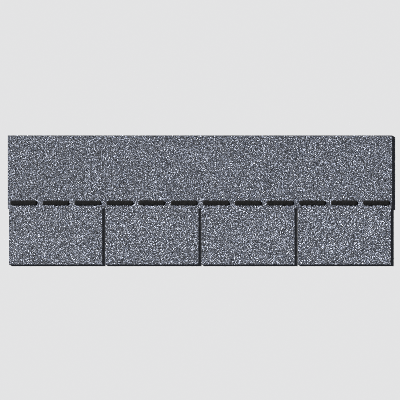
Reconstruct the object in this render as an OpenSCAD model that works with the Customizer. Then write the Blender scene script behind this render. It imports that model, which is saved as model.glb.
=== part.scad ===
// Asphalt strip shingle: one flat sheet with square tabs, a row of self-seal
// dashes on its weather face and a strip of release film on its back.
// X runs along the strip, Y runs up the slope from the butt edge to the top
// edge, and Z points out of the weather face. The origin is at the centre of
// the back. All sizes are in millimetres.

/* [Strip] */
// Length of the strip
strip_length = 1000; // [800:10:1200]
// Depth of the strip, from the butt edge to the top edge
strip_depth = 336; // [270:2:420]
// Thickness of the sheet, with its granules
sheet_thickness = 3; // [2.4:0.1:5]

/* [Tabs and slots] */
// Number of tabs along the strip
tab_count = 4; // [3:1:5]
// Height of a tab that stays in the weather once the next course is laid
exposure = 142; // [110:1:172]
// Width of the slot between two tabs
slot_width = 7; // [5:0.5:12]
// Length of slot that the next course covers
slot_cover = 4; // [2:1:10]
// Radius of the corners at the head of a slot
slot_corner_r = 1.5; // [0.5:0.1:2.4]

/* [Seal dashes] */
// Number of dashes above each tab
dashes_per_tab = 3; // [2:1:4]
// Gap between the ends of two dashes
dash_gap = 13; // [6:1:16]
// Width of a dash, up the slope
dash_width = 13; // [8:1:18]
// Height of a dash above the sheet
dash_height = 0.8; // [0.4:0.1:1.5]
// Distance from the slot heads up to the dashes
dash_setback = 8; // [3:1:20]

/* [Release film] */
// How far the film reaches past the dashes, above and below them
film_margin = 5; // [2:1:10]
// Thickness of the film
film_thickness = 0.05; // [0.03:0.01:0.2]

/* [Hidden] */
// Arcs are smooth at this setting
$fn = 48;
// How far a cutting shape runs past the face that it cuts
overrun = 2;

// Places along the strip
tab_pitch = strip_length / tab_count;
left_end = -strip_length / 2;

// Places up the slope
butt_edge = -strip_depth / 2;
slot_length = exposure + slot_cover;
dash_line = butt_edge + slot_length + dash_setback + dash_width / 2;

// Seal dashes, with a gap over the middle of every slot
dash_pitch = tab_pitch / dashes_per_tab;
dash_length = dash_pitch - dash_gap;
dash_end_r = dash_width / 2;

// Release film, behind the dashes
film_width = dash_width + 2 * film_margin;

// Outline of a slot: its foot is open past the butt edge, and its head has
// round corners. The origin is in the middle of the slot, on the butt edge.
module slot_outline() {
    corner_x = slot_width / 2 - slot_corner_r;
    corner_y = slot_length - slot_corner_r;
    translate([-slot_width / 2, -overrun])
        square([slot_width, overrun + corner_y]);
    translate([-corner_x, 0])
        square([2 * corner_x, slot_length]);
    for (side = [-1, 1])
        translate([side * corner_x, corner_y])
            circle(slot_corner_r);
}

// Outline of the strip. The two end slots are centred on the ends, so each
// end carries half a slot and two strips laid end to end make a whole one.
module sheet_outline() {
    difference() {
        square([strip_length, strip_depth], center = true);
        for (i = [0 : tab_count])
            translate([left_end + i * tab_pitch, butt_edge])
                slot_outline();
    }
}

// Channel in the back that the release film lies in
module film_channel() {
    translate([left_end - overrun, dash_line - film_width / 2, -overrun])
        cube([strip_length + 2 * overrun, film_width, overrun + film_thickness]);
}

// The sheet: one piece, as it is cut from the roll
module shingle_sheet() {
    color([0.45, 0.465, 0.5])
        difference() {
            linear_extrude(sheet_thickness)
                sheet_outline();
            film_channel();
        }
}

// Outline of one dash, straight with round ends
module dash_outline() {
    end_x = dash_length / 2 - dash_end_r;
    square([2 * end_x, dash_width], center = true);
    for (side = [-1, 1])
        translate([side * end_x, 0])
            circle(dash_end_r);
}

// The row of self-seal dashes on the weather face
module seal_dashes() {
    color([0.06, 0.06, 0.07])
        for (i = [0 : tab_count * dashes_per_tab - 1])
            translate([left_end + (i + 0.5) * dash_pitch, dash_line, sheet_thickness])
                linear_extrude(dash_height)
                    dash_outline();
}

// The release film, flush with the back of the sheet
module release_film() {
    color([0.8, 0.82, 0.85])
        translate([left_end, dash_line - film_width / 2, 0])
            cube([strip_length, film_width, film_thickness]);
}

shingle_sheet();
seal_dashes();
release_film();
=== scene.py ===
"""An asphalt strip shingle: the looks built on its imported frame.

The strip lies flat with its weather face up. Its sheet is remade with a
knife-cut edge and a felt core, coated with separate mineral granules, and given
its row of black seal dashes. The release film on the back keeps its own shape.
All lengths are in metres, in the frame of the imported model.
"""

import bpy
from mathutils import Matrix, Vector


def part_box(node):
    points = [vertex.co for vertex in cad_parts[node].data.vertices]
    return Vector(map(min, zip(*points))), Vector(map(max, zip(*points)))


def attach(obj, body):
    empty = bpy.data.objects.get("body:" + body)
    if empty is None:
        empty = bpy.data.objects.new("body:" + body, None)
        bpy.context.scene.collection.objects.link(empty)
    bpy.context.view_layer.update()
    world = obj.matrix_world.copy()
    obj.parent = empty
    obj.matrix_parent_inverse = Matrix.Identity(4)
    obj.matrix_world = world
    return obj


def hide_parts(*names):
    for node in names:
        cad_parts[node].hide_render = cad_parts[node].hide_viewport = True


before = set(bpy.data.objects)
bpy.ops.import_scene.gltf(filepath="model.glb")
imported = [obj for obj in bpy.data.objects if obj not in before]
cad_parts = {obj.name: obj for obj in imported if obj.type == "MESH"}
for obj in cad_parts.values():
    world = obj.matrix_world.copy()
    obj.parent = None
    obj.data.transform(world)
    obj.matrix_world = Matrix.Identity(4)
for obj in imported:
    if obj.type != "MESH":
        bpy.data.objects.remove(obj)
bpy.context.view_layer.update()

import logging
import math
from dataclasses import dataclass
from enum import Enum, IntEnum
from typing import Any, Iterable, Optional, Union

import bpy
from mathutils import Vector, geometry, noise

log = logging.getLogger("strip_shingle")

MM = 0.001
BODY = "root"
# Two places closer than this are the same
NEAR = 0.01 * MM

Number = Union[float, "Value"]
Colour = tuple[float, float, float]
Pair = tuple[float, float]

# The range that most of a noise texture's values lie in
NOISE_RANGE: Pair = (0.3, 0.7)


# ---------------------------------------------------------------- node helpers


class Value:
    """A number on a socket, which Python's own operators work on."""

    def __init__(self, graph: "Graph", socket: bpy.types.NodeSocket) -> None:
        """Wraps one output socket of a graph."""
        self.graph = graph
        self.socket = socket

    def math(self, operation: str, *others: Number) -> "Value":
        """Adds a Math node that starts with this value.

        Args:
            operation: The Math node's operation.
            others: The node's other values.

        Returns:
            The node's result.
        """
        inputs = dict(enumerate([self, *others]))
        return self.graph.value("ShaderNodeMath", {"operation": operation}, inputs)

    def __add__(self, other: Number) -> "Value":
        """self + other"""
        return self.math("ADD", other)

    __radd__ = __add__

    def __mul__(self, other: Number) -> "Value":
        """self * other"""
        return self.math("MULTIPLY", other)

    __rmul__ = __mul__

    def __sub__(self, other: Number) -> "Value":
        """self - other"""
        return self.math("SUBTRACT", other)

    def __rsub__(self, other: Number) -> "Value":
        """other - self"""
        return self * -1 + other

    def __truediv__(self, other: Number) -> "Value":
        """self / other"""
        return self.math("DIVIDE", other)

    def __rtruediv__(self, other: Number) -> "Value":
        """other / self"""
        return self ** -1 * other

    def __pow__(self, other: Number) -> "Value":
        """self to a power"""
        return self.math("POWER", other)

    def __abs__(self) -> "Value":
        """The value without its sign."""
        return self.math("ABSOLUTE")

    def at_least(self, low: Number) -> "Value":
        """The larger of this value and low."""
        return self.math("MAXIMUM", low)

    def at_most(self, high: Number) -> "Value":
        """The smaller of this value and high."""
        return self.math("MINIMUM", high)


class Graph:
    """Adds nodes to one node tree, of a material or of a geometry modifier."""

    def __init__(self, tree: bpy.types.NodeTree) -> None:
        """Starts on a tree."""
        self.tree = tree

    @staticmethod
    def socket(sockets: Iterable[bpy.types.NodeSocket], key: Union[int, str]) -> bpy.types.NodeSocket:
        """Finds a socket.

        Args:
            sockets: A node's inputs or outputs.
            key: The socket's index, its identifier or its name.

        Returns:
            The socket.
        """
        found = list(sockets)
        if isinstance(key, int):
            return found[key]
        for label in ("identifier", "name"):
            for candidate in found:
                if getattr(candidate, label) == key:
                    return candidate
        raise KeyError(key)

    def feed(self, target: bpy.types.NodeSocket, given: Any) -> None:
        """Links or sets an input socket.

        Args:
            target: The input socket.
            given: What goes into it: a value, a socket or a Value object.
        """
        if isinstance(given, Value):
            given = given.socket
        if isinstance(given, bpy.types.NodeSocket):
            self.tree.links.new(given, target)
        else:
            target.default_value = given

    def node(
        self,
        kind: str,
        settings: Optional[dict[str, Any]] = None,
        inputs: Optional[dict[Union[int, str], Any]] = None,
    ) -> bpy.types.Node:
        """Adds a node.

        Args:
            kind: The node's type.
            settings: Its properties, which are set first.
            inputs: What goes into its sockets: values, sockets or Value objects.

        Returns:
            The new node.
        """
        made = self.tree.nodes.new(kind)
        for name, setting in (settings or {}).items():
            setattr(made, name, setting)
        for key, given in (inputs or {}).items():
            self.feed(self.socket(made.inputs, key), given)
        return made

    def out(
        self,
        kind: str,
        settings: Optional[dict[str, Any]] = None,
        inputs: Optional[dict[Union[int, str], Any]] = None,
        output: Union[int, str] = 0,
    ) -> bpy.types.NodeSocket:
        """Adds a node and returns one of its output sockets.

        Args:
            kind: The node's type.
            settings: Its properties.
            inputs: What goes into its sockets.
            output: The output's index, identifier or name.

        Returns:
            The output socket.
        """
        return self.socket(self.node(kind, settings, inputs).outputs, output)

    def value(
        self,
        kind: str,
        settings: Optional[dict[str, Any]] = None,
        inputs: Optional[dict[Union[int, str], Any]] = None,
        output: Union[int, str] = 0,
    ) -> Value:
        """Adds a node and wraps one of its output sockets as a number.

        Args:
            kind: The node's type.
            settings: Its properties.
            inputs: What goes into its sockets.
            output: The output's index, identifier or name.

        Returns:
            The output as a number.
        """
        return Value(self, self.out(kind, settings, inputs, output))

    def split(self, vector: bpy.types.NodeSocket) -> tuple[Value, Value, Value]:
        """Splits a vector into its three numbers."""
        made = self.node("ShaderNodeSeparateXYZ", inputs={"Vector": vector})
        return tuple(Value(self, made.outputs[axis]) for axis in "XYZ")

    def join(self, x: Number, y: Number, z: Number) -> bpy.types.NodeSocket:
        """Joins three numbers into a vector."""
        return self.out("ShaderNodeCombineXYZ", inputs={"X": x, "Y": y, "Z": z})

    def remap(self, given: Number, low: float, high: float, start: float, end: float) -> Value:
        """Turns low..high into start..end, smoothly and with no overshoot.

        Args:
            given: The value to read.
            low: Where the change starts.
            high: Where the change ends.
            start: The result at low and below.
            end: The result at high and above.

        Returns:
            The new value.
        """
        inputs = {"Value": given, "From Min": low, "From Max": high, "To Min": start, "To Max": end}
        return self.value("ShaderNodeMapRange", {"interpolation_type": "SMOOTHSTEP"}, inputs)

    def noise(self, scale: float, detail: float = 2.0, vector: Any = None) -> Value:
        """Adds a noise texture.

        Args:
            scale: Its features to the metre.
            detail: Its octaves.
            vector: The coordinates that it reads, where they aren't the tree's own.

        Returns:
            The noise, from 0 to 1.
        """
        inputs = {"Scale": scale, "Detail": detail}
        if vector is not None:
            inputs["Vector"] = vector
        return self.value("ShaderNodeTexNoise", {"noise_dimensions": "3D"}, inputs)


class Surface(Graph):
    """The node tree of one material, with a Principled shader."""

    def __init__(self, name: str) -> None:
        """Makes the material.

        Args:
            name: Its name.
        """
        self.material = bpy.data.materials.new(name)
        self.material.use_nodes = True
        super().__init__(self.material.node_tree)
        self.tree.nodes.clear()
        self.shader = self.node("ShaderNodeBsdfPrincipled")
        self.node("ShaderNodeOutputMaterial", inputs={"Surface": self.shader.outputs[0]})
        self.place = self.out("ShaderNodeTexCoord", output="Object")

    def set(self, **inputs: Any) -> None:
        """Sets or links sockets of the shader. Underscores in a name stand for spaces."""
        for name, given in inputs.items():
            self.feed(self.shader.inputs[name.replace("_", " ")], given)

    def ramp(self, given: Number, stops: Iterable[tuple[float, Colour]]) -> bpy.types.NodeSocket:
        """Turns a number into a colour.

        Args:
            given: The number, from 0 to 1.
            stops: Pairs of a place on the ramp and its colour.

        Returns:
            The colour's socket.
        """
        made = self.node("ShaderNodeValToRGB", inputs={"Fac": given})
        points = made.color_ramp.elements
        stops = list(stops)
        while len(points) < len(stops):
            points.new(1.0)
        for point, (place, colour) in zip(points, stops):
            point.position = place
            point.color = (*colour, 1.0)
        return made.outputs["Color"]

    def mix(self, factor: Number, first: Any, second: Any) -> bpy.types.NodeSocket:
        """Mixes two colours.

        Args:
            factor: The share of the second colour, from 0 to 1.
            first: The first colour, with its alpha, or its socket.
            second: The second colour, with its alpha, or its socket.

        Returns:
            The mixed colour's socket.
        """
        inputs = {"Factor_Float": factor, "A_Color": first, "B_Color": second}
        return self.out("ShaderNodeMix", {"data_type": "RGBA"}, inputs, "Result_Color")

    def cells(self, size: float, output: str = "Color") -> bpy.types.NodeSocket:
        """Adds Voronoi cells.

        Args:
            size: How far apart the cells are, in metres.
            output: Color gives each cell its own random colour, and Distance the way to its middle.

        Returns:
            The texture's output.
        """
        inputs = {"Vector": self.place, "Scale": 1 / size}
        return self.out("ShaderNodeTexVoronoi", {"voronoi_dimensions": "3D"}, inputs, output)

    def bump(self, height: Number, depth: float) -> bpy.types.NodeSocket:
        """Turns a height from 0 to 1 into a normal.

        Args:
            height: The height.
            depth: What a height of 1 measures, in metres.

        Returns:
            The normal's socket.
        """
        return self.out("ShaderNodeBump", inputs={"Height": height, "Distance": depth, "Strength": 1.0})


def grey(level: float, blue: float = 0.0) -> Colour:
    """A linear grey that leans to blue.

    Args:
        level: Its brightness.
        blue: How far it leans, from 0 for a plain grey.

    Returns:
        Its red, green and blue.
    """
    lean = (-0.55, -0.18, 0.8)
    return tuple(level * (1 + share * blue) for share in lean)


def solid(level: float, blue: float = 0.0) -> tuple[float, float, float, float]:
    """A grey as a colour socket holds it, with its alpha."""
    return (*grey(level, blue), 1.0)


# --------------------------------------------------------------------- finishes


@dataclass(frozen=True)
class GranuleFinish:
    """Ceramic-coated crushed stone. Each granule has one tone, from black to near white."""

    name: str = "mineral_granules"
    gloss: float = 0.25
    # How blue a plain granule is beside a slate-blue one
    plain: float = 0.4
    # The stretch of the row scale over which slate-blue granules give way to plain ones
    slate_to_plain: Pair = (0.55, 1.0)
    roughness: Pair = (0.74, 0.94)
    # Place on the tone scale, brightness and blueness
    tones: tuple[tuple[float, float, float], ...] = (
        (0.00, 0.008, 0.46),
        (0.14, 0.020, 0.46),
        (0.24, 0.070, 0.40),
        (0.38, 0.155, 0.34),
        (0.52, 0.270, 0.28),
        (0.64, 0.400, 0.23),
        (0.78, 0.610, 0.19),
        (0.90, 0.780, 0.15),
        (1.00, 0.860, 0.12),
    )

    def material(self) -> bpy.types.Material:
        """Makes the material.

        Returns:
            The material.
        """
        surface = Surface(self.name)
        tone, row = (
            surface.value("ShaderNodeAttribute", {"attribute_name": name}, output="Fac")
            for name in ("tone", "row")
        )
        slate, plain = (
            surface.ramp(tone, [(place, grey(level, share * blue)) for place, level, blue in self.tones])
            for share in (1.0, self.plain)
        )
        surface.set(
            Base_Color=surface.mix(surface.remap(row, *self.slate_to_plain, 0.0, 1.0), slate, plain),
            Roughness=surface.remap(row, 0.0, 1.0, *self.roughness),
            Specular_IOR_Level=self.gloss,
        )
        return surface.material


@dataclass(frozen=True)
class BedFinish:
    """The coating between the granules: bitumen with fine broken stone in it."""

    name: str = "fine_stone_bed"
    fine_size: float = 0.9 * MM
    relief: float = 0.35 * MM
    roughness: float = 0.8
    # Place on the tone scale, brightness and blueness
    tones: tuple[tuple[float, float, float], ...] = (
        (0.00, 0.012, 0.25),
        (0.45, 0.022, 0.25),
        (0.75, 0.080, 0.25),
        (1.00, 0.240, 0.18),
    )

    def material(self) -> bpy.types.Material:
        """Makes the material.

        Returns:
            The material.
        """
        surface = Surface(self.name)
        tone = surface.split(surface.cells(self.fine_size))[0]
        hollow = Value(surface, surface.cells(self.fine_size, "Distance"))
        surface.set(
            Base_Color=surface.ramp(tone, [(place, grey(level, blue)) for place, level, blue in self.tones]),
            Roughness=self.roughness,
            Normal=surface.bump(1 - hollow, self.relief),
        )
        return surface.material


@dataclass(frozen=True)
class CutEdgeFinish:
    """The knife-cut edge: black bitumen above and below a thin line of glass felt."""

    name: str = "cut_bitumen_edge"
    felt_height: float = 1.2 * MM
    felt_half: float = 0.22 * MM
    felt_level: float = 0.16
    # How clearly the felt shows, how ragged its line is, and where the line fades out
    felt_share: float = 0.75
    fray: float = 1.8
    fade: Pair = (0.5, 1.1)
    # Features to the metre of the fibres, the smears and the grain, and the octaves of each
    fibre_scale: float = 900.0
    smear_scale: float = 350.0
    grain_scale: float = 1500.0
    detail: float = 3.0
    smears: tuple[Pair, ...] = ((0.3, 0.008), (0.75, 0.035))
    roughness: Pair = (0.45, 0.85)
    relief: float = 0.15 * MM

    def material(self) -> bpy.types.Material:
        """Makes the material.

        Returns:
            The material.
        """
        surface = Surface(self.name)
        height = surface.split(surface.place)[2]
        fibres, smear, grain = (
            surface.noise(scale, self.detail, surface.place)
            for scale in (self.fibre_scale, self.smear_scale, self.grain_scale)
        )
        away = abs(height - self.felt_height) / self.felt_half
        felt = surface.remap(away + (fibres - 0.5) * self.fray, *self.fade, 1.0, 0.0)
        bitumen = surface.ramp(smear, [(place, grey(level)) for place, level in self.smears])
        surface.set(
            Base_Color=surface.mix(felt * self.felt_share, bitumen, solid(self.felt_level)),
            Roughness=surface.remap(fibres, *NOISE_RANGE, *self.roughness),
            Normal=surface.bump(grain, self.relief),
        )
        return surface.material


@dataclass(frozen=True)
class SandedBackFinish:
    """The back: bitumen dusted with fine sand, so that it doesn't stick."""

    name: str = "sanded_back"
    sand_size: float = 0.5 * MM
    sand: tuple[tuple[float, Colour], ...] = (
        (0.0, (0.02, 0.02, 0.02)),
        (0.5, (0.09, 0.085, 0.078)),
        (1.0, (0.30, 0.28, 0.25)),
    )
    bitumen: Colour = (0.022, 0.022, 0.023)
    # Where the dusting is thin: features to the metre, octaves, where it starts and how thin it gets
    cloud_scale: float = 45.0
    cloud_detail: float = 4.0
    cloud_from: Pair = (0.45, 0.75)
    thinnest: float = 0.6
    roughness: Pair = (0.92, 0.7)
    relief: float = 0.12 * MM

    def material(self) -> bpy.types.Material:
        """Makes the material.

        Returns:
            The material.
        """
        surface = Surface(self.name)
        grain = surface.split(surface.cells(self.sand_size))[0]
        cloud = surface.noise(self.cloud_scale, self.cloud_detail, surface.place)
        bare = surface.remap(cloud, *self.cloud_from, 0.0, self.thinnest)
        surface.set(
            Base_Color=surface.mix(bare, surface.ramp(grain, self.sand), (*self.bitumen, 1.0)),
            Roughness=surface.remap(cloud, *NOISE_RANGE, *self.roughness),
            Normal=surface.bump(grain, self.relief),
        )
        return surface.material


@dataclass(frozen=True)
class SealFinish:
    """Soft black bitumen of the seal dashes, with a dull dusty skin."""

    name: str = "seal_bitumen"
    skin_scale: float = 420.0
    skin_detail: float = 4.0
    skin_range: Pair = (0.35, 0.7)
    # Place on the skin's scale and brightness
    tones: tuple[Pair, ...] = ((0.35, 0.006), (0.8, 0.022))
    roughness: Pair = (0.72, 0.92)
    gloss: float = 0.08
    relief: float = 0.25 * MM

    def material(self) -> bpy.types.Material:
        """Makes the material.

        Returns:
            The material.
        """
        surface = Surface(self.name)
        skin = surface.noise(self.skin_scale, self.skin_detail, surface.place)
        surface.set(
            Base_Color=surface.ramp(skin, [(place, grey(level)) for place, level in self.tones]),
            Roughness=surface.remap(skin, *self.skin_range, *self.roughness),
            Specular_IOR_Level=self.gloss,
            Normal=surface.bump(skin, self.relief),
        )
        return surface.material


@dataclass(frozen=True)
class FilmFinish:
    """Clear release film, with the bitumen showing through and fine creases across it."""

    name: str = "release_film"
    crease_scale: float = 160.0
    crease_detail: float = 3.0
    # The creases run across the film, so they change slowly that way
    stretch: tuple[float, float, float] = (1.0, 0.25, 1.0)
    tones: tuple[tuple[float, Colour], ...] = ((0.3, (0.40, 0.42, 0.45)), (0.7, (0.66, 0.68, 0.71)))
    roughness: Pair = (0.1, 0.26)
    relief: float = 0.2 * MM

    def material(self) -> bpy.types.Material:
        """Makes the material.

        Returns:
            The material.
        """
        surface = Surface(self.name)
        stretched = surface.out("ShaderNodeMapping", inputs={"Vector": surface.place, "Scale": self.stretch})
        crease = surface.noise(self.crease_scale, self.crease_detail, stretched)
        surface.set(
            Base_Color=surface.ramp(crease, self.tones),
            Roughness=surface.remap(crease, *NOISE_RANGE, *self.roughness),
            Normal=surface.bump(crease, self.relief),
        )
        return surface.material


@dataclass(frozen=True)
class FloorFinish:
    """A plain pale studio floor."""

    name: str = "pale_floor"
    level: float = 0.65
    roughness: float = 0.95

    def material(self) -> bpy.types.Material:
        """Makes the material.

        Returns:
            The material.
        """
        surface = Surface(self.name)
        surface.set(Base_Color=solid(self.level), Roughness=self.roughness, Specular_IOR_Level=0.0)
        return surface.material


# ------------------------------------------------------------------- the strip


@dataclass(frozen=True)
class StripPlan:
    """The strip's sizes and places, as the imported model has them."""

    low: Vector
    high: Vector
    tabs: tuple[Pair, ...]
    slot_head: float
    slot_radius: float
    dashes: tuple[tuple[Vector, Vector], ...]
    film: tuple[Vector, Vector]

    @classmethod
    def from_frame(cls) -> "StripPlan":
        """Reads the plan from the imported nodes.

        Returns:
            The plan.
        """
        low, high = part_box("shingle_sheet")
        face = {
            (round(v.co.x, 6), round(v.co.y, 6))
            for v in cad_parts["shingle_sheet"].data.vertices
            if abs(v.co.z - high.z) < NEAR
        }
        butt = sorted(x for x, y in face if abs(y - low.y) < NEAR)
        tabs = tuple(zip(butt[0::2], butt[1::2]))
        head = max(y for x, y in face if tabs[0][1] - NEAR < x < tabs[1][0] + NEAR)
        side = max(y for x, y in face if abs(x - tabs[0][1]) < NEAR)
        return cls(low, high, tabs, head, head - side, cls.read_dashes(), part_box("release_film"))

    @staticmethod
    def read_dashes() -> tuple[tuple[Vector, Vector], ...]:
        """Reads the box of each dash. Dashes are parted where no face joins two places along the strip.

        Returns:
            The lowest and highest corner of each dash, from left to right.
        """
        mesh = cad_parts["seal_dashes"].data
        spans: list[list[float]] = []
        for face in sorted(mesh.polygons, key=lambda f: min(mesh.vertices[i].co.x for i in f.vertices)):
            xs = [mesh.vertices[i].co.x for i in face.vertices]
            if spans and min(xs) <= spans[-1][1] + NEAR:
                spans[-1][1] = max(spans[-1][1], *xs)
            else:
                spans.append([min(xs), max(xs)])
        low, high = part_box("seal_dashes")
        return tuple((Vector((a, low.y, low.z)), Vector((b, high.y, high.z))) for a, b in spans)

    @property
    def zones(self) -> list[Pair]:
        """The stretches of headlap along the strip, which meet over the slots.

        Returns:
            The two ends of each stretch, one stretch above each tab.
        """
        middles = [(a[1] + b[0]) / 2 for a, b in zip(self.tabs, self.tabs[1:])]
        ends = [self.low.x, *middles, self.high.x]
        return list(zip(ends, ends[1:]))


class Face(IntEnum):
    """The material slots of the sheet."""

    BED = 0
    EDGE = 1
    BACK = 2


@dataclass
class AsphaltSheet:
    """The sheet without its granules: a bed, a knife-cut edge and a sanded back."""

    plan: StripPlan
    bed: float = 2.55 * MM
    step: float = 1.6 * MM
    ramp: float = 0.3 * MM
    arc_steps: int = 5
    # How far the edge wanders, and for its coarse and its fine waver the size, how much faster it
    # changes with height, where it starts and its share
    wobble: float = 0.16 * MM
    wavers: tuple[tuple[float, float, float, float], ...] = (
        (3.5 * MM, 4.0, 0.0, 0.35),
        (1.3 * MM, 2.0, 1.0, 0.3),
    )
    # Height of each ring round the edge as a share of the bed's, and how far in it lies
    rings: tuple[Pair, ...] = (
        (0.0, 0.14 * MM),
        (0.12, 0.02 * MM),
        (0.46, 0.04 * MM),
        (0.53, 0.16 * MM),
        (0.60, 0.05 * MM),
        (1.0, 0.12 * MM),
    )
    name: str = "asphalt_sheet"

    def channel_lines(self) -> list[float]:
        """Where the back steps in and out of the film's channel, up the slope."""
        low, high = self.plan.film[0].y, self.plan.film[1].y
        return [low - self.ramp, low, high, high + self.ramp]

    def back_height(self, y: float) -> float:
        """The height of the back.

        Args:
            y: A place up the slope.

        Returns:
            0, or the film's thickness over the film.
        """
        low, high = self.plan.film[0].y, self.plan.film[1].y
        depth = self.plan.film[1].z
        outside = max(low - y, y - high, 0.0)
        return depth * max(0.0, 1 - outside / self.ramp)

    def corners(self) -> list[Vector]:
        """The outline's corners.

        Returns:
            The corners, anticlockwise from the left end of the butt edge.
        """
        plan = self.plan
        butt, top, head = plan.low.y, plan.high.y, plan.slot_head
        points: list[Vector] = []
        for index, (left, right) in enumerate(plan.tabs):
            points += [Vector((left, butt)), Vector((right, butt)), *self.slot_corner(right, rising=True)]
            if index + 1 < len(plan.tabs):
                points += self.slot_corner(plan.tabs[index + 1][0], rising=False)
        lines = self.channel_lines()
        points += [Vector((plan.high.x, y)) for y in [head, *lines, top]]
        points += [Vector((plan.low.x, y)) for y in [top, *reversed(lines), head]]
        return points + self.slot_corner(plan.tabs[0][0], rising=False)

    def slot_corner(self, x: float, rising: bool) -> list[Vector]:
        """One round corner at the head of a slot.

        Args:
            x: The place of the slot's side along the strip.
            rising: Whether the outline comes up that side. Otherwise it goes down it.

        Returns:
            The corner's points, in the outline's own order.
        """
        head, radius = self.plan.slot_head, self.plan.slot_radius
        points = []
        for i in range(self.arc_steps + 1):
            a = math.pi / 2 * i / self.arc_steps
            if rising:
                points.append(Vector((x + radius * (1 - math.cos(a)), head - radius * (1 - math.sin(a)))))
            else:
                points.append(Vector((x - radius * (1 - math.sin(a)), head - radius * (1 - math.cos(a)))))
        return points

    def outline(self) -> list[Vector]:
        """The outline with a point every step.

        Returns:
            Its points, anticlockwise.
        """
        corners = self.corners()
        points: list[Vector] = []
        for start, end in zip(corners, corners[1:] + corners[:1]):
            count = max(1, round((end - start).length / self.step))
            points += [start.lerp(end, i / count) for i in range(count)]
        return points

    @staticmethod
    def inward(points: list[Vector]) -> list[Vector]:
        """The direction into the sheet at each point of an outline.

        Args:
            points: The outline, anticlockwise.

        Returns:
            One direction for each point.
        """
        result = []
        for before, after in zip(points[-1:] + points[:-1], points[1:] + points[:1]):
            along = (after - before).normalized()
            result.append(Vector((-along.y, along.x)))
        return result

    def ring(self, points: list[Vector], inward: list[Vector], share: float, inset: float) -> list[Vector]:
        """One ring round the edge.

        Args:
            points: The outline.
            inward: The direction into the sheet at each point.
            share: The ring's height as a share of the bed's.
            inset: How far in it lies at least.

        Returns:
            The ring's points in space.
        """
        ring = []
        for point, into in zip(points, inward):
            height = max(share * self.bed, self.back_height(point.y))
            rough = 0.5
            for size, climb, start, part in self.wavers:
                rough += part * noise.noise(Vector((point.x, point.y, height * climb + start)) / size)
            at = point + into * (inset + self.wobble * max(0.0, rough))
            ring.append(Vector((at.x, at.y, height)))
        return ring

    def cap(self, ring: list[Vector], offset: int, upward: bool) -> list[tuple[int, ...]]:
        """Fills a ring with triangles.

        Args:
            ring: The ring's points.
            offset: The index of its first vertex.
            upward: Whether the faces look up.

        Returns:
            The triangles.
        """
        flat = [point.to_2d() for point in ring]
        ends = [
            (self.nearest(ring, self.plan.low.x, y), self.nearest(ring, self.plan.high.x, y))
            for y in self.channel_lines()
        ]
        inside_only, merge = 1, 1e-9
        _, _, faces, origins, _, _ = geometry.delaunay_2d_cdt(
            flat, ends, [list(range(len(flat)))], inside_only, merge
        )
        turn = 1 if upward else -1
        return [tuple(offset + origins[i][0] for i in face)[::turn] for face in faces]

    @staticmethod
    def nearest(ring: list[Vector], x: float, y: float) -> int:
        """The index of the ring's point that is nearest to a place."""
        return min(range(len(ring)), key=lambda i: (ring[i].x - x) ** 2 + (ring[i].y - y) ** 2)

    def build(self) -> bpy.types.Object:
        """Makes the sheet.

        Returns:
            The piece.
        """
        points = self.outline()
        inward = self.inward(points)
        rings = [self.ring(points, inward, share, inset) for share, inset in self.rings]
        count = len(points)
        back = self.cap(rings[0], 0, upward=False)
        bed = self.cap(rings[-1], count * (len(rings) - 1), upward=True)
        edge = [
            (low + i, low + j, low + j + count, low + i + count)
            for low in range(0, count * (len(rings) - 1), count)
            for i, j in zip(range(count), [*range(1, count), 0])
        ]
        mesh = bpy.data.meshes.new(self.name)
        mesh.from_pydata([point for ring in rings for point in ring], [], back + edge + bed)
        slots = [Face.BACK] * len(back) + [Face.EDGE] * len(edge) + [Face.BED] * len(bed)
        mesh.polygons.foreach_set("material_index", slots)
        for finish in (BedFinish(), CutEdgeFinish(), SandedBackFinish()):
            mesh.materials.append(finish.material())
        mesh.update()
        return place_piece(self.name, mesh, "shingle_sheet")


# ------------------------------------------------------------- geometry trees


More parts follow.
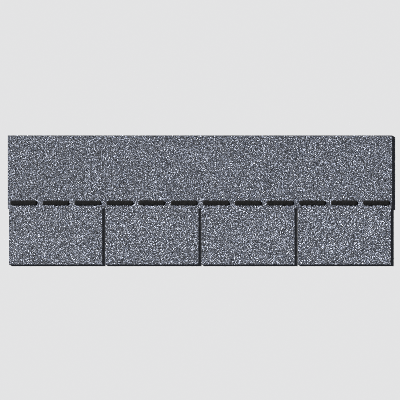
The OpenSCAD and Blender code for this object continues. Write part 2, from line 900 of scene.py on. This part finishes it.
class Tool(Graph):
    """A geometry node tree with named inputs."""

    def __init__(self, name: str) -> None:
        """Makes the tree, with its geometry sockets.

        Args:
            name: Its name.
        """
        super().__init__(bpy.data.node_groups.new(name, "GeometryNodeTree"))
        self.identifiers: dict[str, str] = {}
        self.add_input("Geometry", "Geometry")
        self.tree.interface.new_socket("Geometry", in_out="OUTPUT", socket_type="NodeSocketGeometry")
        self.entry = self.node("NodeGroupInput")

    def add_input(self, name: str, kind: str) -> None:
        """Adds a named input of a kind such as Float, Int, Vector or Material."""
        made = self.tree.interface.new_socket(name, in_out="INPUT", socket_type=f"NodeSocket{kind}")
        self.identifiers[name] = made.identifier

    def given(self, name: str) -> bpy.types.NodeSocket:
        """The socket of a named input."""
        return self.entry.outputs[name]

    def number(self, name: str) -> Value:
        """A named input as a number."""
        return Value(self, self.given(name))

    def random(self, low: Any, high: Any, salt: int) -> bpy.types.NodeSocket:
        """A random number, or a random vector where low is one. It reads the input Seed.

        Args:
            low: The lowest value.
            high: The highest value.
            salt: What sets its draws apart from the tree's others.

        Returns:
            The value's socket.
        """
        vector = isinstance(low, tuple)
        tail = "" if vector else "_001"
        settings = {"data_type": "FLOAT_VECTOR" if vector else "FLOAT"}
        inputs = {f"Min{tail}": low, f"Max{tail}": high, "Seed": self.number("Seed") + salt}
        return self.out("FunctionNodeRandomValue", settings, inputs, "Value" + tail)

    def finish(self, mesh: bpy.types.NodeSocket) -> None:
        """Ends the tree with flat faces and the material.

        Args:
            mesh: The finished mesh.
        """
        flat = self.out("GeometryNodeSetShadeSmooth", inputs={"Geometry": mesh, "Shade Smooth": False})
        dressed = self.out(
            "GeometryNodeSetMaterial", inputs={"Geometry": flat, "Material": self.given("Material")}
        )
        self.node("NodeGroupOutput", inputs={"Geometry": dressed})

    def run(self, name: str, start: bpy.types.Mesh, values: dict[str, Any]) -> bpy.types.Mesh:
        """Runs the tree on a mesh.

        Args:
            name: The result's name.
            start: The mesh to start from.
            values: The named inputs.

        Returns:
            The result, as a plain mesh.
        """
        holder = bpy.data.objects.new(name + "_holder", start)
        bpy.context.scene.collection.objects.link(holder)
        modifier = holder.modifiers.new(self.tree.name, "NODES")
        modifier.node_group = self.tree
        for label, given in values.items():
            modifier[self.identifiers[label]] = given
        depsgraph = bpy.context.evaluated_depsgraph_get()
        evaluated = holder.evaluated_get(depsgraph)
        mesh = bpy.data.meshes.new_from_object(evaluated, preserve_all_data_layers=True, depsgraph=depsgraph)
        mesh.name = name
        bpy.data.objects.remove(holder)
        return mesh


def place_piece(name: str, mesh: bpy.types.Mesh, node: str) -> bpy.types.Object:
    """Puts a mesh in the scene as a piece of the object.

    Args:
        name: The piece's name.
        mesh: Its mesh.
        node: The CAD node that it stands for.

    Returns:
        The piece.
    """
    piece = bpy.data.objects.new(name, mesh)
    bpy.context.scene.collection.objects.link(piece)
    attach(piece, BODY)
    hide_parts(node)
    log.info("%s: %d faces", name, len(mesh.polygons))
    return piece


# -------------------------------------------------------------------- granules


class Patch(Enum):
    """The two kinds of patch that the granules lie in."""

    TAB = "tab"
    HEADLAP = "headlap"


class Draw(IntEnum):
    """The random draws of a granule."""

    STRETCH = 1
    SPIN = 2
    TONE = 3
    ROW = 4
    CHIP = 5
    JOIN = 6


@dataclass
class GranuleCoat:
    """The mineral granules, pressed into the bed one by one."""

    plan: StripPlan
    bed: float
    spacing: float = 1.5 * MM
    density: float = 0.42e6
    radius: float = 1.15 * MM
    # The smallest and the largest granule, as shares of the radius along its own axes
    smallest: tuple[float, float, float] = (0.85, 0.78, 0.34)
    largest: tuple[float, float, float] = (1.25, 1.15, 0.52)
    tilt: float = 0.3
    chipped: tuple[float, float, float] = (0.26, 0.26, 0.1)
    lift: float = 0.02 * MM
    # A band this wide along every cut edge gets no granules, so the near-black bed shows there. It is partly
    # bitumen at the knife cut and partly painted shade: a dark outline standing in for the shadow along the
    # slots and the butt edge.
    bare_rim_painted_shade: float = 1.1 * MM
    knife: float = 0.1 * MM
    # Pale granules lie in small clusters: how far apart, how unevenly, and how many granules join in
    cluster: float = 3.6 * MM
    cluster_spread: float = 0.85
    clustered: float = 0.8
    # Faint drifts of tone: features to the metre, octaves and depth
    drift_scale: float = 28.0
    drift_detail: float = 2.0
    drift: float = 0.04
    headlap_tone: float = 0.92
    blend: float = 18 * MM
    # The bake map: its margin, the stretch that tone and row run along, and a granule's side on it
    map_margin: float = 0.02
    map_span: float = 0.95
    map_side: float = 0.008
    seed: int = 7
    seed_step: int = 10
    name: str = "granules"

    def tool(self) -> Tool:
        """Makes the tree that scatters granules over a rectangle.

        Returns:
            The tree.
        """
        tool = Tool("granule_scatter")
        for label in ("Width", "Depth", "Spacing", "Density", "Radius"):
            tool.add_input(label, "Float")
        for label in ("Cluster", "Clustered", "Blend Start", "Blend End", "Headlap Tone"):
            tool.add_input(label, "Float")
        for label in ("Centre", "Cut Low", "Cut High"):
            tool.add_input(label, "Vector")
        tool.add_input("Seed", "Int")
        tool.add_input("Material", "Material")
        size = {"Size X": tool.given("Width"), "Size Y": tool.given("Depth")}
        grid = tool.out("GeometryNodeMeshGrid", inputs={**size, "Vertices X": 2, "Vertices Y": 2})
        ground = tool.out(
            "GeometryNodeTransform", inputs={"Geometry": grid, "Translation": tool.given("Centre")}
        )
        points = tool.out(
            "GeometryNodeDistributePointsOnFaces",
            {"distribute_method": "POISSON"},
            {
                "Mesh": ground,
                "Distance Min": tool.given("Spacing"),
                "Density Max": tool.given("Density"),
                "Seed": tool.given("Seed"),
            },
        )
        stone = tool.out("GeometryNodeMeshUVSphere", inputs={"Segments": 4, "Rings": 2, "Radius": 1.0})
        stretch = tool.random(self.smallest, self.largest, Draw.STRETCH)
        scale = tool.out(
            "ShaderNodeVectorMath",
            {"operation": "SCALE"},
            {"Vector": stretch, "Scale": tool.given("Radius")},
        )
        turn = (self.tilt, self.tilt, math.pi)
        spun = tool.random(tuple(-angle for angle in turn), turn, Draw.SPIN)
        stones = tool.out(
            "GeometryNodeInstanceOnPoints",
            inputs={"Points": points, "Instance": stone, "Rotation": spun, "Scale": scale},
        )
        toned = self.store_look(tool, stones)
        loose = tool.out("GeometryNodeRealizeInstances", inputs={"Geometry": toned})
        tool.finish(self.store_map(tool, self.chip(tool, loose)))
        return tool

    def store_look(self, tool: Tool, stones: bpy.types.NodeSocket) -> bpy.types.NodeSocket:
        """Gives each granule its tone, a little darker in the headlap, and its row on the map.

        Args:
            tool: The tree.
            stones: The granules, as instances.

        Returns:
            The granules with the attributes tone and row.
        """
        upslope = tool.split(tool.out("GeometryNodeInputPosition"))[1]
        inputs = {
            "Value": upslope,
            "From Min": tool.given("Blend Start"),
            "From Max": tool.given("Blend End"),
            "To Min": 1.0,
            "To Max": tool.given("Headlap Tone"),
        }
        share = tool.value("ShaderNodeMapRange", {"interpolation_type": "SMOOTHSTEP"}, inputs)
        drift = (tool.noise(self.drift_scale, self.drift_detail) - 0.5) * self.drift
        cells = {"Scale": 1 / tool.number("Cluster"), "Randomness": self.cluster_spread}
        away = tool.value("ShaderNodeTexVoronoi", {"voronoi_dimensions": "2D"}, cells, "Distance")
        pale = (away * away * -math.pi).math("EXPONENT")
        joins = Value(tool, tool.random(0.0, 1.0, Draw.JOIN)).math("LESS_THAN", tool.number("Clustered"))
        own = Value(tool, tool.random(0.0, 1.0, Draw.TONE))
        tone = (own + (pale - own) * joins + drift) * share
        tone = tone.at_least(0.0).at_most(1.0)
        for name, given in (("tone", tone), ("row", tool.random(0.0, 1.0, Draw.ROW))):
            stones = tool.out(
                "GeometryNodeStoreNamedAttribute",
                {"data_type": "FLOAT", "domain": "INSTANCE"},
                {"Geometry": stones, "Name": name, "Value": given},
            )
        return stones

    def chip(self, tool: Tool, stones: bpy.types.NodeSocket) -> bpy.types.NodeSocket:
        """Moves each corner of each granule a little, and cuts off what passes the strip's own faces.

        Args:
            tool: The tree.
            stones: The granules, as one mesh.

        Returns:
            The chipped granules.
        """
        reach = tool.random(tuple(-share for share in self.chipped), self.chipped, Draw.CHIP)
        shift = tool.out(
            "ShaderNodeVectorMath", {"operation": "SCALE"}, {"Vector": reach, "Scale": tool.given("Radius")}
        )
        chipped = tool.out("GeometryNodeSetPosition", inputs={"Geometry": stones, "Offset": shift})
        cut = tool.out("GeometryNodeInputPosition")
        for operation, bound in (("MAXIMUM", "Cut Low"), ("MINIMUM", "Cut High")):
            cut = tool.out("ShaderNodeVectorMath", {"operation": operation}, {0: cut, 1: tool.given(bound)})
        return tool.out("GeometryNodeSetPosition", inputs={"Geometry": chipped, "Position": cut})

    def store_map(self, tool: Tool, stones: bpy.types.NodeSocket) -> bpy.types.NodeSocket:
        """Lays each granule on a small triangle of the bake map, so that tone runs along the map.

        Args:
            tool: The tree.
            stones: The granules, as one mesh.

        Returns:
            The granules with their map.
        """
        corner = tool.value("GeometryNodeInputIndex").math("MODULO", 3.0)
        across, up = (corner.math("COMPARE", number, 0.1) for number in (1.0, 2.0))
        tone, row = (
            tool.value("GeometryNodeInputNamedAttribute", {"data_type": "FLOAT"}, {"Name": name})
            for name in ("tone", "row")
        )
        u, v = (
            self.map_margin + self.map_span * given + self.map_side * step
            for given, step in ((tone, across), (row, up))
        )
        return tool.out(
            "GeometryNodeStoreNamedAttribute",
            {"data_type": "FLOAT2", "domain": "CORNER"},
            {"Geometry": stones, "Name": "OFBake", "Value": tool.join(u, v, 0.0)},
        )

    def patches(self) -> list[tuple[Patch, Pair, Pair]]:
        """The rectangles that are coated: each tab, and the headlap above it.

        Returns:
            For each patch its kind, its span along the strip and its span up the slope.
        """
        plan = self.plan
        # The patches stop short of the cut edges. The bare band of dark bed left there is partly bitumen and
        # partly painted shade along the slots, the ends and the butt edge.
        seam = plan.slot_head + self.bare_rim_painted_shade
        result = []
        for (left, right), (start, end) in zip(plan.tabs, plan.zones):
            result.append((Patch.TAB, (left + self.bare_rim_painted_shade, right - self.bare_rim_painted_shade), (plan.low.y + self.bare_rim_painted_shade, seam)))
            start = max(start, plan.low.x + self.bare_rim_painted_shade)
            end = min(end, plan.high.x - self.bare_rim_painted_shade)
            result.append((Patch.HEADLAP, (start, end), (seam, plan.high.y - self.bare_rim_painted_shade)))
        return result

    def cut_box(self, patch: Patch, span: Pair) -> tuple[Vector, Vector]:
        """The box that a patch's granules are cut to: the knife's lines and the sheet's top.

        Args:
            patch: The kind of patch.
            span: The patch's span along the strip.

        Returns:
            The box's lowest and highest corner.
        """
        plan = self.plan
        back = self.bare_rim_painted_shade - self.knife
        if patch is Patch.TAB:
            low = Vector((span[0] - back, plan.low.y + self.knife, 0.0))
            return low, Vector((span[1] + back, plan.high.y, plan.high.z))
        low = Vector((plan.low.x + self.knife, plan.slot_head + self.knife, 0.0))
        return low, Vector((plan.high.x - self.knife, plan.high.y - self.knife, plan.high.z))

    def build(self) -> list[bpy.types.Object]:
        """Makes the granules.

        Returns:
            The pieces, one for each patch.
        """
        tool = self.tool()
        material = GranuleFinish().material()
        blend_start = self.plan.slot_head + self.bare_rim_painted_shade
        pieces = []
        for index, (patch, (left, right), (low, high)) in enumerate(self.patches()):
            name = f"{self.name}_{patch.value}_{index // len(Patch) + 1}"
            cut_low, cut_high = self.cut_box(patch, (left, right))
            values = {
                "Width": right - left,
                "Depth": high - low,
                "Centre": ((left + right) / 2, (low + high) / 2, self.bed + self.lift),
                "Spacing": self.spacing,
                "Density": self.density,
                "Radius": self.radius,
                "Cluster": self.cluster,
                "Clustered": self.clustered,
                "Cut Low": cut_low,
                "Cut High": cut_high,
                "Blend Start": blend_start,
                "Blend End": blend_start + self.blend,
                "Headlap Tone": self.headlap_tone,
                "Seed": self.seed + self.seed_step * index,
                "Material": material,
            }
            mesh = tool.run(name, bpy.data.meshes.new(name + "_start"), values)
            pieces.append(place_piece(name, mesh, "shingle_sheet"))
        return pieces


# ------------------------------------------------------------------ seal dashes


@dataclass
class SealDashes:
    """The row of black seal dashes, laid hot on the granules."""

    plan: StripPlan
    bed: float
    sides: int = 20
    lengths: int = 56
    # How round a bead's back is, as a power, and how thin its very end may get, squared
    dome: float = 0.6
    thinnest: float = 0.0004
    # How far the edge runs out: distance, features to the metre and octaves
    lump: float = 0.9 * MM
    lump_scale: float = 170.0
    lump_detail: float = 3.0
    name: str = "seal_beads"

    def tool(self) -> Tool:
        """Makes the tree that lays one bead on each point of a mesh.

        Returns:
            The tree.
        """
        tool = Tool("seal_bead")
        for label in ("Half Length", "Half Width", "Height", "Lump", "Top"):
            tool.add_input(label, "Float")
        tool.add_input("Material", "Material")
        rod = tool.out(
            "GeometryNodeMeshCylinder",
            {"fill_type": "TRIANGLE_FAN"},
            {"Vertices": self.sides, "Side Segments": self.lengths, "Radius": 1.0, "Depth": 2.0},
        )
        lying = tool.out(
            "GeometryNodeTransform", inputs={"Geometry": rod, "Rotation": (0.0, math.pi / 2, 0.0)}
        )
        bead = tool.out("GeometryNodeSetPosition", inputs={"Geometry": lying, "Position": self.form(tool)})
        points = tool.out("GeometryNodeMeshToPoints", inputs={"Mesh": tool.given("Geometry")})
        beads = tool.out("GeometryNodeInstanceOnPoints", inputs={"Points": points, "Instance": bead})
        loose = tool.out("GeometryNodeRealizeInstances", inputs={"Geometry": beads})
        tool.finish(self.run_out(tool, loose))
        return tool

    def form(self, tool: Tool) -> bpy.types.NodeSocket:
        """Bends a unit rod into a bead: round ends, a flat foot and a low dome.

        Args:
            tool: The tree.

        Returns:
            The new place of each of the rod's points.
        """
        x, y, z = tool.split(tool.out("GeometryNodeInputPosition"))
        half, width = tool.number("Half Length"), tool.number("Half Width")
        along = x * half
        past = (abs(along) - (half - width)).at_least(0.0) / width
        taper = (1 - past * past).at_least(self.thinnest) ** 0.5
        dome = z.at_least(0.0) ** self.dome
        return tool.join(along, y * width * taper, dome * tool.number("Height") * taper ** 0.5)

    def run_out(self, tool: Tool, beads: bpy.types.NodeSocket) -> bpy.types.NodeSocket:
        """Lets each bead run out unevenly, and keeps it under its top.

        Args:
            tool: The tree.
            beads: The beads, as one mesh.

        Returns:
            The uneven beads.
        """
        inputs = {"Scale": self.lump_scale, "Detail": self.lump_detail}
        wander = tool.out("ShaderNodeTexNoise", inputs=inputs, output="Color")
        centred = tool.out(
            "ShaderNodeVectorMath", {"operation": "SUBTRACT"}, {0: wander, 1: (0.5, 0.5, 0.5)}
        )
        shift = tool.out(
            "ShaderNodeVectorMath", {"operation": "SCALE"}, {"Vector": centred, "Scale": tool.given("Lump")}
        )
        lumpy = tool.out("GeometryNodeSetPosition", inputs={"Geometry": beads, "Offset": shift})
        x, y, z = tool.split(tool.out("GeometryNodeInputPosition"))
        kept = tool.join(x, y, z.at_most(tool.number("Top")))
        return tool.out("GeometryNodeSetPosition", inputs={"Geometry": lumpy, "Position": kept})

    def build(self) -> bpy.types.Object:
        """Makes the beads.

        Returns:
            The piece.
        """
        low, high = self.plan.dashes[0]
        centres = [(a + b) / 2 for a, b in self.plan.dashes]
        start = bpy.data.meshes.new(self.name + "_start")
        start.from_pydata([(c.x, c.y, self.bed) for c in centres], [], [])
        values = {
            "Half Length": (high.x - low.x) / 2,
            "Half Width": (high.y - low.y) / 2,
            "Height": high.z - self.bed,
            "Lump": self.lump,
            "Top": high.z,
            "Material": SealFinish().material(),
        }
        mesh = self.tool().run(self.name, start, values)
        mesh.shade_smooth()
        return place_piece(self.name, mesh, "seal_dashes")


@dataclass
class ReleaseFilm:
    """The film on the back, which keeps its CAD shape."""

    node: str = "release_film"

    def dress(self) -> bpy.types.Object:
        """Gives the film its finish.

        Returns:
            The film's node.
        """
        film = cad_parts[self.node]
        film.data.materials.clear()
        film.data.materials.append(FilmFinish().material())
        log.info("%s: kept, with its finish", self.node)
        return film


# ----------------------------------------------------------------------- studio


@dataclass
class Studio:
    """The floor, the light and the camera."""

    plan: StripPlan
    floor_half: float = 60.0
    floor_gap: float = 0.02 * MM
    camera_height: float = 2.7
    # The strip's share of the view's width
    share: float = 0.962
    sensor: float = 36.0
    key_elevation: float = 16.0
    key_azimuth: float = 150.0
    key_softness: float = 4.0
    key_strength: float = 13.2
    key_distance: float = 5.0
    fill: float = 0.031
    fill_blue: float = 0.25
    backdrop: float = 0.772
    # A narrow filter keeps the granules' speckle sharp
    filter_width: float = 0.7

    def floor(self) -> bpy.types.Object:
        """Lays the floor just under the strip.

        Returns:
            The floor.
        """
        half, height = self.floor_half, -self.floor_gap
        corners = [(-half, -half, height), (half, -half, height), (half, half, height), (-half, half, height)]
        mesh = bpy.data.meshes.new("studio_floor")
        mesh.from_pydata(corners, [], [(0, 1, 2, 3)])
        mesh.materials.append(FloorFinish().material())
        floor = bpy.data.objects.new("studio_floor", mesh)
        bpy.context.scene.collection.objects.link(floor)
        return floor

    def lights(self) -> None:
        """Sets a low soft key, so that the slots lie in shade, and an even fill."""
        lamp = bpy.data.lights.new("key", "SUN")
        lamp.energy = self.key_strength
        lamp.angle = math.radians(self.key_softness)
        key = bpy.data.objects.new("key", lamp)
        bpy.context.scene.collection.objects.link(key)
        rise, turn = math.radians(self.key_elevation), math.radians(self.key_azimuth)
        source = Vector((math.cos(turn) * math.cos(rise), math.sin(turn) * math.cos(rise), math.sin(rise)))
        key.rotation_mode = "QUATERNION"
        key.rotation_quaternion = source.to_track_quat("Z", "Y")
        key.location = source * self.key_distance

    def world(self) -> None:
        """Sets the fill, with a paler backdrop past the floor's edge."""
        world = bpy.data.worlds.new("studio")
        world.use_nodes = True
        bpy.context.scene.world = world
        graph = Graph(world.node_tree)
        graph.tree.nodes.clear()
        seen = graph.out("ShaderNodeLightPath", output="Is Camera Ray")
        inputs = {
            "Factor_Float": seen,
            "A_Color": solid(self.fill, self.fill_blue),
            "B_Color": solid(self.backdrop),
        }
        colour = graph.out("ShaderNodeMix", {"data_type": "RGBA"}, inputs, "Result_Color")
        light = graph.out("ShaderNodeBackground", inputs={"Color": colour, "Strength": 1.0})
        graph.node("ShaderNodeOutputWorld", inputs={"Surface": light})

    def camera(self) -> bpy.types.Object:
        """Hangs the camera over the middle of the strip, looking straight down.

        Returns:
            The camera.
        """
        width = (self.plan.high.x - self.plan.low.x) / self.share
        data = bpy.data.cameras.new("overhead")
        data.sensor_width = self.sensor
        data.lens = self.sensor * (self.camera_height - self.plan.high.z) / width
        data.clip_end = 2 * self.floor_half
        camera = bpy.data.objects.new("overhead", data)
        camera.location = (0.0, 0.0, self.camera_height)
        bpy.context.scene.collection.objects.link(camera)
        bpy.context.scene.camera = camera
        return camera

    def build(self) -> None:
        """Sets up the studio."""
        self.camera()
        self.floor()
        self.lights()
        self.world()
        scene = bpy.context.scene
        scene.view_settings.view_transform = "Standard"
        scene.cycles.use_denoising = False
        scene.cycles.pixel_filter_type = "BLACKMAN_HARRIS"
        scene.cycles.filter_width = self.filter_width
        scene.cycles.caustics_reflective = False


def main() -> None:
    """Builds the strip and its studio."""
    logging.basicConfig(level=logging.INFO, format="%(name)s %(message)s")
    plan = StripPlan.from_frame()
    Studio(plan).build()
    sheet = AsphaltSheet(plan)
    sheet.build()
    GranuleCoat(plan, sheet.bed).build()
    SealDashes(plan, sheet.bed).build()
    ReleaseFilm().dress()


if __name__ == "__main__":
    main()
